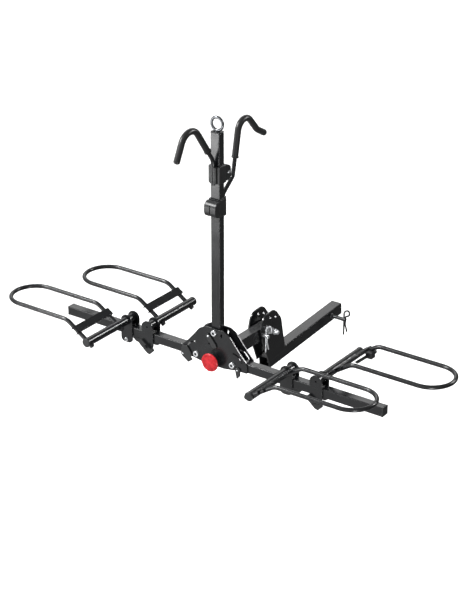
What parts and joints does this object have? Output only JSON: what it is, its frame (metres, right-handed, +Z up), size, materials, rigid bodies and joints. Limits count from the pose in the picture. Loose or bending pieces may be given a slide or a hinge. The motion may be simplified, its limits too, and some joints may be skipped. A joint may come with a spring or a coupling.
{
  "type": "hitch mounted bike rack",
  "caption": "Hitch mounted platform rack with folding arms, folding mast, sliding frame hooks and bent rod wheel hoops.",
  "frame": {"origin": "centre of the hitch pin's hole, on the axis of the square shank", "axes": "+X along the arms towards the right arm, +Y towards the vehicle, +Z up"},
  "size_m": [1.847, 1.1327, 1.1737],
  "materials": {
    "powder_coat": "satin black powder coat",
    "zinc_chrome": "bright zinc plate",
    "grip_rubber": "matt black sleeve",
    "black_plastic": "moulded black",
    "red_lens": "moulded red reflector lens"
  },
  "bodies": {
    "hitch": {"shank": "powder_coat", "ear_left": "powder_coat", "ear_right": "powder_coat", "pivot_bolt": "zinc_chrome", "pivot_nut": "zinc_chrome", "pivot_lock_nut": "zinc_chrome", "tilt_pin": "zinc_chrome", "tilt_pin_clip": "zinc_chrome"},
    "hitch_pin": {"hitch_pin": "powder_coat", "hitch_pin_clip": "zinc_chrome"},
    "base": {"base_arm": "powder_coat", "bracket_front": "powder_coat", "bracket_rear": "powder_coat", "mast_bolt": "zinc_chrome", "left_arm_bolt": "zinc_chrome", "right_arm_bolt": "zinc_chrome", "reflector_housing": "black_plastic", "reflector_lens": "red_lens"},
    "mast_lock": {"mast_lock_lever": "black_plastic"},
    "left_lock": {"left_arm_lever": "black_plastic"},
    "right_lock": {"right_arm_lever": "black_plastic"},
    "mast": {"mast": "powder_coat", "mast_cap": "black_plastic", "eye_bolt": "zinc_chrome"},
    "front_hook_slider": {"front_slider": "black_plastic", "front_hook": "powder_coat", "front_hook_grip": "grip_rubber"},
    "front_release": {"front_release": "black_plastic"},
    "rear_hook_slider": {"rear_slider": "black_plastic", "rear_hook": "powder_coat", "rear_hook_grip": "grip_rubber"},
    "rear_release": {"rear_release": "black_plastic"},
    "left_arm": {"left_arm": "powder_coat", "left_arm_cap": "black_plastic"},
    "right_arm": {"right_arm": "powder_coat", "right_arm_cap": "black_plastic"},
    "left_front_holder": {"left_front_saddle": "powder_coat", "left_front_tube": "powder_coat", "left_front_tube_cap": "black_plastic", "left_front_hoop": "powder_coat", "left_front_clamp_bolt": "zinc_chrome"},
    "left_front_lever": {"left_front_clamp_lever": "black_plastic"},
    "left_rear_holder": {"left_rear_saddle": "powder_coat", "left_rear_tube": "powder_coat", "left_rear_tube_cap": "black_plastic", "left_rear_hoop": "powder_coat", "left_rear_clamp_bolt": "zinc_chrome"},
    "left_rear_lever": {"left_rear_clamp_lever": "black_plastic"},
    "right_front_holder": {"right_front_saddle": "powder_coat", "right_front_tube": "powder_coat", "right_front_tube_cap": "black_plastic", "right_front_hoop": "powder_coat", "right_front_clamp_bolt": "zinc_chrome"},
    "right_front_lever": {"right_front_clamp_lever": "black_plastic"},
    "right_rear_holder": {"right_rear_saddle": "powder_coat", "right_rear_tube": "powder_coat", "right_rear_tube_cap": "black_plastic", "right_rear_hoop": "powder_coat", "right_rear_clamp_bolt": "zinc_chrome"},
    "right_rear_lever": {"right_rear_clamp_lever": "black_plastic"}
  },
  "joints": [
    {"name": "rack_tilt", "type": "hinge", "parent": "hitch", "child": "base", "pos_m": [0, -0.475, 0.124], "axis": [1, 0, 0], "range_deg": [-90, 45]},
    {"name": "mast_fold", "type": "hinge", "parent": "base", "child": "mast", "pos_m": [0, -0.777, 0.23], "axis": [0, 1, 0], "range_deg": [-85, 0]},
    {"name": "front_hook_slide", "type": "slide", "parent": "mast", "child": "front_hook_slider", "axis": [0, 0, 1], "range_m": [-0.03, 0.09]},
    {"name": "front_release_turn", "type": "hinge", "parent": "front_hook_slider", "child": "front_release", "pos_m": [0, -0.7507, 0.9055], "axis": [1, 0, 0], "range_deg": [0, 40], "stiffness_Nm_per_rad": 0.5},
    {"name": "rear_hook_slide", "type": "slide", "parent": "mast", "child": "rear_hook_slider", "axis": [0, 0, 1], "range_m": [-0.38, 0.03]},
    {"name": "rear_release_turn", "type": "hinge", "parent": "rear_hook_slider", "child": "rear_release", "pos_m": [0, -0.8033, 0.7735], "axis": [1, 0, 0], "range_deg": [-40, 0], "stiffness_Nm_per_rad": 0.5},
    {"name": "mast_lock_turn", "type": "hinge", "parent": "base", "child": "mast_lock", "pos_m": [-0.027, -0.80545, 0.211], "axis": [0, 1, 0], "range_deg": [0, 20], "stiffness_Nm_per_rad": 0.5},
    {"name": "left_lock_turn", "type": "hinge", "parent": "base", "child": "left_lock", "pos_m": [-0.15, -0.80545, 0.101], "axis": [0, 1, 0], "range_deg": [0, 60], "stiffness_Nm_per_rad": 0.5},
    {"name": "right_lock_turn", "type": "hinge", "parent": "base", "child": "right_lock", "pos_m": [0.112, -0.80545, 0.103], "axis": [0, 1, 0], "range_deg": [0, 45], "stiffness_Nm_per_rad": 0.5},
    {"name": "left_arm_fold", "type": "hinge", "parent": "base", "child": "left_arm", "pos_m": [-0.086, -0.777, 0.117], "axis": [0, 1, 0], "range_deg": [0, 80]},
    {"name": "right_arm_fold", "type": "hinge", "parent": "base", "child": "right_arm", "pos_m": [0.086, -0.777, 0.117], "axis": [0, 1, 0], "range_deg": [-80, 0]},
    {"name": "left_front_slide", "type": "slide", "parent": "left_arm", "child": "left_front_holder", "axis": [1, 0, 0], "range_m": [-0.25, 0.02]},
    {"name": "left_front_clamp", "type": "hinge", "parent": "left_front_holder", "child": "left_front_lever", "pos_m": [-0.4345, -0.7467, 0.08], "axis": [0, 1, 0], "range_deg": [0, 90]},
    {"name": "left_rear_slide", "type": "slide", "parent": "left_arm", "child": "left_rear_holder", "axis": [1, 0, 0], "range_m": [-0.02, 0.085]},
    {"name": "left_rear_clamp", "type": "hinge", "parent": "left_rear_holder", "child": "left_rear_lever", "pos_m": [-0.33, -0.8073, 0.08], "axis": [0, 1, 0], "range_deg": [0, 90]},
    {"name": "right_front_slide", "type": "slide", "parent": "right_arm", "child": "right_front_holder", "axis": [1, 0, 0], "range_m": [-0.09, 0.035]},
    {"name": "right_front_clamp", "type": "hinge", "parent": "right_front_holder", "child": "right_front_lever", "pos_m": [0.335, -0.7467, 0.08], "axis": [0, 1, 0], "range_deg": [0, 90]},
    {"name": "right_rear_slide", "type": "slide", "parent": "right_arm", "child": "right_rear_holder", "axis": [1, 0, 0], "range_m": [-0.035, 0.23]},
    {"name": "right_rear_clamp", "type": "hinge", "parent": "right_rear_holder", "child": "right_rear_lever", "pos_m": [0.469, -0.8073, 0.08], "axis": [0, 1, 0], "range_deg": [0, 90]},
    {"name": "hitch_pin_turn", "type": "hinge", "parent": "hitch", "child": "hitch_pin", "pos_m": [0, 0, 0], "axis": [1, 0, 0], "range_deg": [-90, 90]}
  ]
}
